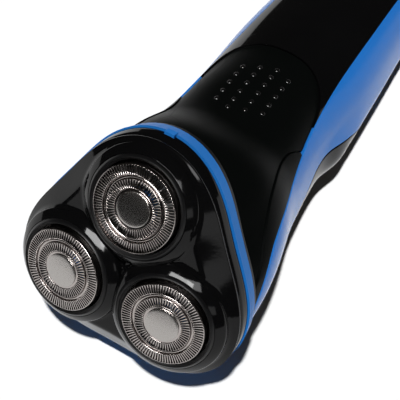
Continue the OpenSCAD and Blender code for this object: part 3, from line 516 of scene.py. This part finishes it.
def guard_mesh(side):
    place = CUTTER_PLACE[side]
    mesh = bmesh.new()
    outer_top = ([(8.25, -0.35), (8.3, -0.08), (8.42, -0.012), (8.5, 0), (10.7, -0.05), (10.82, -0.075)]
                 + rounded(10.75, -0.28, 0.2, 75, 0, 4)
                 + [(GUARD_R - 0.25, -FLANGE), (GUARD_R + 0.9, -FLANGE), (GUARD_R + 0.9, -GUARD_DEEP)])
    outer_under = ([(8.25, -0.8), (8.3, -0.75), (8.42, -0.71), (8.5, -0.7), (10.3, -0.7), (10.4, -0.72)]
                   + rounded(10.4, -0.9, 0.2, 75, 0, 4)
                   + [(GUARD_R - 0.6, z) for z in (-FLANGE, -3.9, -GUARD_DEEP)])
    slotted_ring(mesh, outer_top, outer_under, OUTER_SLOTS, place)
    inner_top = [(5.0, -0.35), (5.04, -0.08), (5.12, -0.012), (5.2, 0), (7.2, 0), (7.28, -0.012),
                 (7.33, -0.08), (7.36, -0.35)]
    inner_under = [(5.0, -0.8), (5.04, -0.75), (5.12, -0.71), (5.2, -0.7), (7.2, -0.7), (7.28, -0.71),
                   (7.33, -0.75), (7.36, -0.8)]
    slotted_ring(mesh, inner_top, inner_under, INNER_SLOTS, place)
    groove = [(7.3, -0.34), (8.3, -0.34), (8.3, -0.72), (7.3, -0.72)]
    seat = [(1.6, -0.14), (1.7, -0.12), (4.9, -0.12), (5.02, -0.14), (5.02, -0.6), (1.6, -0.6)]
    lathe(mesh, groove, place)
    lathe(mesh, seat, place)
    beads(mesh, 8.36, -0.04, 0.13, OUTER_SLOTS, place)
    beads(mesh, 5.12, -0.04, 0.11, INNER_SLOTS, place)
    return finish_mesh("guard_foil_" + side, mesh, foil_steel)


def bezel_mesh(side):
    mesh = bmesh.new()
    profile = ([(GUARD_R + 0.35, -1.9)] + rounded(GUARD_R + 0.48, -1.75, 0.12, 180, 60, 4)
               + rounded(GUARD_R + 0.75, -1.45, 0.13, 170, 60, 4)
               + rounded(GUARD_R + 1.1, -0.95, 0.14, 170, 52, 5)
               + [(GUARD_R + 1.75, -1.34), (GUARD_R + 1.75, -3.3), (GUARD_R + 0.35, -3.3)])
    lathe(mesh, profile, CUTTER_PLACE[side], 128)
    return finish_mesh("pod_bezel_" + side, mesh, satin_black)


def disc_mesh(side):
    mesh = bmesh.new()
    crown = [(DISC_R * k / 8, DISC_TALL - DISC_CROWN * (k / 8) ** 2) for k in range(1, 8)]
    profile = ([(0.02, DISC_TALL)] + crown + rounded(4.32, 0.1, 0.08, 80, 0, 4)
               + [(DISC_R, -0.5), (0.02, -0.5)])
    lathe(mesh, profile, CUTTER_PLACE[side])
    return finish_mesh("guard_centre_" + side, mesh, disc_steel)


for side in SIDES:
    for piece, node, body, slot in (
            (guard_mesh(side), "guard_" + side, "guard_" + side, "foil_steel"),
            (disc_mesh(side), "guard_disc_" + side, "guard_" + side, "foil_steel"),
            (bezel_mesh(side), "pod_ring_" + side, "head", "satin_black")):
        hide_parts(node)
        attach(piece, body)

# ---- Handle shells ----
# Every outer shell of the handle follows one skin, a section that turns from the head's rounded
# triangle into a soft rectangle. The front shell is moulded in polished black ABS.
# Each station is its distance behind the head, its width, its top and its bottom height.
NECK = (18.5, 58.6, 54, 5.6)
SHOULDER = (48.5, 46.4, 44, 0.4)
WAIST = (68.5, 41.6, 43.2, 0)
PALM = (96.5, 43.4, 39.8, 0)
TAIL = (128.5, 40.4, 36.6, 0)
BASE = (160.5, 38, 33.5, 0)
STATIONS = (NECK, SHOULDER, WAIST, PALM, TAIL, BASE)
# The edges of the bands are angles round the section, at distances behind the head. The belly
# is extra half width, and the wing line is the thumb panel's share of the way to the band.
BAND_FRONT = ((14, -16), (22, -3), (30, 10), (45, 21.5), (66, 32.5), (88, 44), (105, 46.5), (160, 44))
BAND_BACK = ((14, -38), (22, -24), (30, -17), (45, -12), (58, -9), (66, -2), (74, -1), (84, -7), (92, -15),
             (102, -23), (114, -27), (160, -26))
BELLY_LINE = ((30, 0), (45, 0.6), (62, 0.8), (70, 1.2), (78, 2.9), (86, 2.2), (98, 1.2), (120, 0.8),
              (160, 0.4))
WING_LINE = ((14, 0.87), (20, 0.9), (28, 0.8), (35, 0.7), (46, 0.68), (54, 0.76), (60, 1))
WING_TIP = 58.5
BLEND_LEN = 33
TILT_LEN = 46
BELLY_TOP = 0.15
BELLY_FADE = 0.45
NECK_POWER = 2.8
PALM_POWER = 2.4
FRONT_DROP = 0.66
COLLAR_INSET = 1.0
REST_FLAT = 0.35
SHELL_WALL = 1.8
SEAM = 0.2
SHELL_END = BASE[0] - 8
HANDLE_R = 20
HALF_SEAM = math.degrees(SEAM / 2 / HANDLE_R)
ARCH_START = 67.5
ARCH_RISE = 15.5
PANEL_SINK = 0.5
PANEL_GAP = 0.004
HEAD_TILT = math.atan2(OUT.z, -OUT.y)
BODY_DEPTH = 18.9
BODY_START = BODY_DEPTH * math.cos(HEAD_TILT)
BODY_START_Z = HEAD.z / MM - BODY_DEPTH * math.sin(HEAD_TILT)


def smooth_step(t):
    t = min(1, max(0, t))
    return t * t * (3 - 2 * t)


def along(line, d, k=1):
    """A smooth curve through the line's points, read at distance d."""
    i = 0
    while i < len(line) - 2 and d >= line[i + 1][0]:
        i += 1
    width = line[i + 1][0] - line[i][0]
    t = max(0, min(1, (d - line[i][0]) / width))

    def slope(j):
        low, high = line[max(0, j - 1)], line[min(len(line) - 1, j + 1)]
        return (high[k] - low[k]) / (high[0] - low[0])
    return (line[i][k] * (1 + 2 * t) * (1 - t) ** 2 + line[i + 1][k] * t * t * (3 - 2 * t)
            + slope(i) * width * t * (1 - t) ** 2 - slope(i + 1) * width * t * t * (1 - t))


def signed_power(v, e):
    return math.copysign(abs(v) ** e, v)


def skin(d, angle, inset=0.0):
    """A point of the handle at d behind the head, at an angle in degrees round its section."""
    blend = smooth_step((d - BODY_START) / BLEND_LEN)
    c, s = math.cos(math.radians(angle)), math.sin(math.radians(angle))
    tri = outline_r(math.radians(angle)) - COLLAR_INSET - inset
    half_h = (along(STATIONS, d, 2) - along(STATIONS, d, 3)) / 2 - inset
    belly = along(BELLY_LINE, d) * smooth_step((BELLY_TOP - s) / BELLY_FADE)
    half_w = along(STATIONS, d, 1) / 2 + belly - inset
    power = 2 / mix(NECK_POWER, PALM_POWER, blend)
    x = mix(tri * c, half_w * signed_power(c, power), blend)
    lower = REST_FLAT if s < 0 else 0
    v = mix(tri * s * (FRONT_DROP if s > 0 else 1), (half_h + lower) * signed_power(s, power), blend)
    middle = mix(BODY_START_Z, (along(STATIONS, d, 2) + along(STATIONS, d, 3)) / 2, blend)
    tilt = HEAD_TILT * (1 - smooth_step((d - BODY_START) / TILT_LEN))
    return Vector((x, HEAD.y / MM + d + v * math.sin(tilt), max(inset, middle + v * math.cos(tilt)))) * MM


def shell(name, point, rows, columns, material, sink=0.0, wall=SHELL_WALL, bevel=0.25):
    """A moulded shell: the closed slab between its outer skin and its inner skin."""
    sheets = [[[point(i / rows, j / columns, inset) for j in range(columns + 1)] for i in range(rows + 1)]
              for inset in (sink, wall)]
    mesh = bmesh.new()
    outer, inner = [[[mesh.verts.new(p) for p in row] for row in sheet] for sheet in sheets]
    for i in range(rows):
        for j in range(columns):
            mesh.faces.new((outer[i][j], outer[i][j + 1], outer[i + 1][j + 1], outer[i + 1][j]))
            mesh.faces.new((inner[i][j], inner[i + 1][j], inner[i + 1][j + 1], inner[i][j + 1]))
    for i in range(rows):
        for j in (0, columns):
            mesh.faces.new((outer[i][j], outer[i + 1][j], inner[i + 1][j], inner[i][j]))
    for j in range(columns):
        for i in (0, rows):
            mesh.faces.new((outer[i][j], outer[i][j + 1], inner[i][j + 1], inner[i][j]))
    for face in mesh.faces:
        face.smooth = True
    return finish_mesh(name, mesh, material, bevel)


def front_angle(d, q):
    return 90 - q * (90 - along(BAND_FRONT, d) - HALF_SEAM)


def arch(q):
    return ARCH_START + ARCH_RISE * math.sqrt(max(0, 1 - q * q))


def front_point(u, v, inset):
    q = math.cos(math.pi * v)
    d = mix(arch(q) + SEAM, SHELL_END - SEAM / 2, u)
    return skin(d, front_angle(d, q), inset)


front_shell = shell("front_cover", front_point, 60, 72, polished_black)
DRILL_LONG = 20


def drill(piece, centre, normal, radius):
    """Bores a round hole through a shell, square to its skin."""
    mesh = bmesh.new()
    turn = normal.to_track_quat("Z", "Y").to_matrix().to_4x4()
    bmesh.ops.create_cone(mesh, cap_ends=True, segments=64, radius1=radius * MM, radius2=radius * MM,
                          depth=DRILL_LONG * MM, matrix=Matrix.Translation(centre) @ turn)
    tool = finish_mesh("drill", mesh, polished_black)
    later = list(piece.modifiers)
    cut = piece.modifiers.new("cut", "BOOLEAN")
    cut.object = tool
    cut.solver = "EXACT"
    for modifier in later:
        modifier.show_viewport = False
    graph = bpy.context.evaluated_depsgraph_get()
    piece.data = bpy.data.meshes.new_from_object(piece.evaluated_get(graph))
    piece.modifiers.remove(cut)
    for modifier in later:
        modifier.show_viewport = True
    bpy.data.objects.remove(tool)


BUTTON_AT = 126
BUTTON_R = 5.4
BEZEL_W = 1.2
LENS_AT = BUTTON_AT + 13
LENS_R = 1.3


def skin_place(d, angle, inset=0.0):
    """Matrix of a spot on the skin: millimetres, with z square to the surface."""
    normal = (skin(d + 0.5, angle, inset) - skin(d - 0.5, angle, inset)).cross(
        skin(d, angle + 1, inset) - skin(d, angle - 1, inset)).normalized()
    place = Matrix.Translation(skin(d, angle, inset)) @ normal.to_track_quat("Z", "Y").to_matrix().to_4x4()
    return place @ Matrix.Diagonal((MM, MM, MM, 1)), normal


button_place, button_normal = skin_place(BUTTON_AT, 90)
lens_place, lens_normal = skin_place(LENS_AT, 90)
drill(front_shell, button_place.translation, button_normal, BUTTON_R + BEZEL_W + 0.1)
drill(front_shell, lens_place.translation, lens_normal, LENS_R + 0.08)
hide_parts("front_shell")
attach(front_shell, "body")

# ---- Grip panel and studs ----
# The thumb rests on a panel of soft elastomer, sunk a little below the polished shell, with four
# staggered columns of small moulded studs.
soft_black = finish("soft_black", (0.0014, 0.0018, 0.0017), (0.0025, 0.003, 0.0028), (0.36, 0.46), 1600, 0.1,
                    shine=0.035)


def panel_point(u, v, inset):
    q = math.cos(math.pi * v)
    d = mix(BODY_START, arch(q), u)
    return skin(d, front_angle(d, q * (along(WING_LINE, d) - PANEL_GAP)), inset)


grip_panel = shell("thumb_panel", panel_point, 72, 64, soft_black, PANEL_SINK)
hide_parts("grip_panel")
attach(grip_panel, "body")

polished_stud = finish("polished_stud", (0.003, 0.003, 0.003), (0.005, 0.005, 0.005), (0.1, 0.18), 1200, 0.03)
# Each column of studs is its place across, its first half-row and its number of studs.
STUD_COLUMNS = ((-1.5, 1, 5), (-0.5, 0, 6), (0.5, 1, 6), (1.5, 2, 5))
STUD_START = 55
STUD_PITCH_X = 4.45
STUD_PITCH_Y = 3.6


def stud_mesh():
    """The studs as one mesh, each a low dome square to the panel's skin."""
    mesh = bmesh.new()
    profile = [(0.01, 0.42), (0.3, 0.4), (0.55, 0.3), (0.72, 0.1), (0.8, -0.05), (0.8, -0.5), (0.01, -0.5)]
    for across, first, count in STUD_COLUMNS:
        for row in range(count):
            d = STUD_START + (row + first / 2) * STUD_PITCH_Y
            share = signed_power(across * STUD_PITCH_X / (along(STATIONS, d) / 2), PALM_POWER / 2)
            lathe(mesh, profile, skin_place(d, math.degrees(math.acos(share)), PANEL_SINK)[0], 20)
    return finish_mesh("thumb_studs", mesh, polished_stud)


grip_studs = stud_mesh()
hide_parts("grip_studs")
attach(grip_studs, "body")

# ---- Side wings ----
# Slim leaves of the same elastomer lie between the thumb panel and the blue bands, and let the
# fingers grip the neck.
WING_GAP = 0.012
WING_SINK = 0.1


def wing_point(side):
    def point(u, v, inset):
        d = mix(BODY_START, WING_TIP, u)
        q = mix(1, along(WING_LINE, d) + WING_GAP, v)
        return skin(d, front_angle(d, side * q), inset)
    return point


for side, name in ((1, "wing_right"), (-1, "wing_left")):
    wing = shell(name, wing_point(side), 60, 12, soft_black, WING_SINK)
    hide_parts("side_wings")
    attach(wing, "body")

# ---- Blue side bands and ring ----
# Bright blue ABS, moulded with a high gloss: a long band down each side, and the ring that the
# head closes onto.
bright_blue = finish("bright_blue", (0.012, 0.145, 0.50), (0.018, 0.17, 0.56), (0.16, 0.24), 900, 0.02,
                     shine=0.12)


def band_point(side):
    def point(u, v, inset):
        d = mix(BODY_START, SHELL_END - SEAM / 2, u)
        a = mix(along(BAND_BACK, d) + HALF_SEAM, along(BAND_FRONT, d) - HALF_SEAM, v)
        return skin(d, a if side > 0 else 180 - a, inset)
    return point


for side, node in ((1, "side_band_right"), (-1, "side_band_left")):
    band = shell(node + "_cover", band_point(side), 100, 16, bright_blue)
    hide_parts(node)
    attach(band, "body")


def dress(node, material, bevel=0.0):
    """Gives a CAD solid its finish, with smooth curved faces and softened edges."""
    solid = frame["nodes"][node]
    solid.data.materials.clear()
    solid.data.materials.append(material)
    solid.data.shade_smooth()
    if bevel:
        soften(solid, bevel)
    else:
        solid.data.set_sharp_from_angle(angle=math.radians(35))


satin_blue = finish("satin_blue", (0.012, 0.15, 0.50), (0.018, 0.18, 0.56), (0.3, 0.4), 900, 0.02, shine=0.03)
dress("accent_ring", satin_blue, 0.3)
dress("release_latch", satin_blue, 0.15)

# ---- Back shell and base cap ----
# The back of the handle is one polished black moulding with a flat strip to lie on. A short cap
# closes the end and holds the charging inlet.


def back_point(u, v, inset):
    d = mix(BODY_START, SHELL_END - SEAM / 2, u)
    start = 180 - along(BAND_BACK, d) + HALF_SEAM
    end = 360 + along(BAND_BACK, d) - HALF_SEAM
    return skin(d, mix(start, end, v), inset)


back_shell = shell("back_cover", back_point, 90, 48, polished_black)
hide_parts("back_shell")
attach(back_shell, "body")
dress("base_cap", polished_black, 0.2)
dress("charging_inlet", satin_black, 0.15)

# ---- Button and charging light ----
# A dished push button in a bright metal bezel, and a clear light pipe that glows while charging.
bright_steel = finish("bright_steel", (0.55, 0.55, 0.56), (0.68, 0.68, 0.69), (0.14, 0.24), 300, 0.03, 1.0)
button_mesh = bmesh.new()
lathe(button_mesh, [(0.02, 0.55), (2.0, 0.6), (3.4, 0.72), (4.3, 0.88)] + rounded(4.85, 0.45, 0.47, 110, 0, 5)
      + [(5.32, -1.2), (0.02, -1.2)], button_place)
power_button = finish_mesh("push_button", button_mesh, satin_black)
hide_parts("power_button")
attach(power_button, "power_button")
bezel_loop = bmesh.new()
lathe(bezel_loop, [(BUTTON_R + 0.02, -1.8), (BUTTON_R + 0.02, 0.2)]
      + rounded(BUTTON_R + 0.3, 0.2, 0.25, 160, 60, 4) + rounded(BUTTON_R + 0.85, 0.1, 0.32, 60, 0, 4)
      + [(BUTTON_R + 1.18, -1.8)], button_place)
button_bezel = finish_mesh("button_collar", bezel_loop, bright_steel)
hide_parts("button_bezel")
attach(button_bezel, "body")
clear_pipe = finish("clear_pipe", (0.55, 0.62, 0.7), (0.65, 0.72, 0.8), (0.15, 0.25), 600, 0.02, coat=0.5)
dress("charging_light", clear_pipe, 0.15)

# ---- Works inside the head and the handle ----
# Steel cutters on blue carriers, the drive gears in natural acetal, the sprung spindles, the
# motor, the battery and the circuit board show when the head is open or the shells come off.
cutter_steel = finish("cutter_steel", (0.10, 0.10, 0.103), (0.17, 0.17, 0.173), (0.25, 0.4), 400, 0.05, 1.0)
acetal = finish("acetal", (0.62, 0.60, 0.54), (0.72, 0.70, 0.64), (0.35, 0.5), 700, 0.05)
blue_acetal = finish("blue_acetal", (0.01, 0.07, 0.24), (0.015, 0.10, 0.30), (0.35, 0.5), 700, 0.05)
ferrite = finish("ferrite", (0.03, 0.03, 0.032), (0.05, 0.05, 0.052), (0.6, 0.8), 900, 0.2)
bronze = finish("bronze", (0.45, 0.27, 0.11), (0.6, 0.38, 0.17), (0.3, 0.45), 500, 0.05, 1.0)
winding = finish("winding", (0.35, 0.13, 0.05), (0.55, 0.22, 0.09), (0.3, 0.5), 900, 0.3, 0.8)
cell_wrap = finish("cell_wrap", (0.02, 0.2, 0.09), (0.03, 0.26, 0.12), (0.2, 0.35), 300, 0.03, coat=0.4)
board_green = finish("board_green", (0.01, 0.07, 0.03), (0.015, 0.11, 0.045), (0.3, 0.5), 900, 0.1)
seal_rubber = finish("seal_rubber", (0.01, 0.01, 0.011), (0.018, 0.018, 0.019), (0.6, 0.75), 1200, 0.2)
for side in SIDES:
    dress("cutter_" + side, cutter_steel)
    dress("cutter_carrier_" + side, blue_acetal, 0.1)
    dress("gear_" + side, acetal)
    dress("spindle_" + side, bright_steel)
    dress("spindle_spring_" + side, bright_steel)
for node, material in (("drive_gear", acetal), ("motor_end_cap", acetal), ("chassis", acetal),
                       ("lock_knob", blue_acetal), ("retaining_plate", satin_black),
                       ("hair_tray", satin_black), ("drive_frame", satin_black),
                       ("tray_seal", seal_rubber), ("motor_magnets", ferrite),
                       ("motor_armature", winding), ("motor_bushes", bronze), ("charging_pins", bronze),
                       ("battery_cell", cell_wrap), ("circuit_board", board_green),
                       ("head_hinge_pin", bright_steel), ("motor_can", bright_steel),
                       ("motor_shaft", bright_steel), ("motor_screws", bright_steel),
                       ("chassis_screws", bright_steel), ("battery_tabs", bright_steel)):
    dress(node, material)
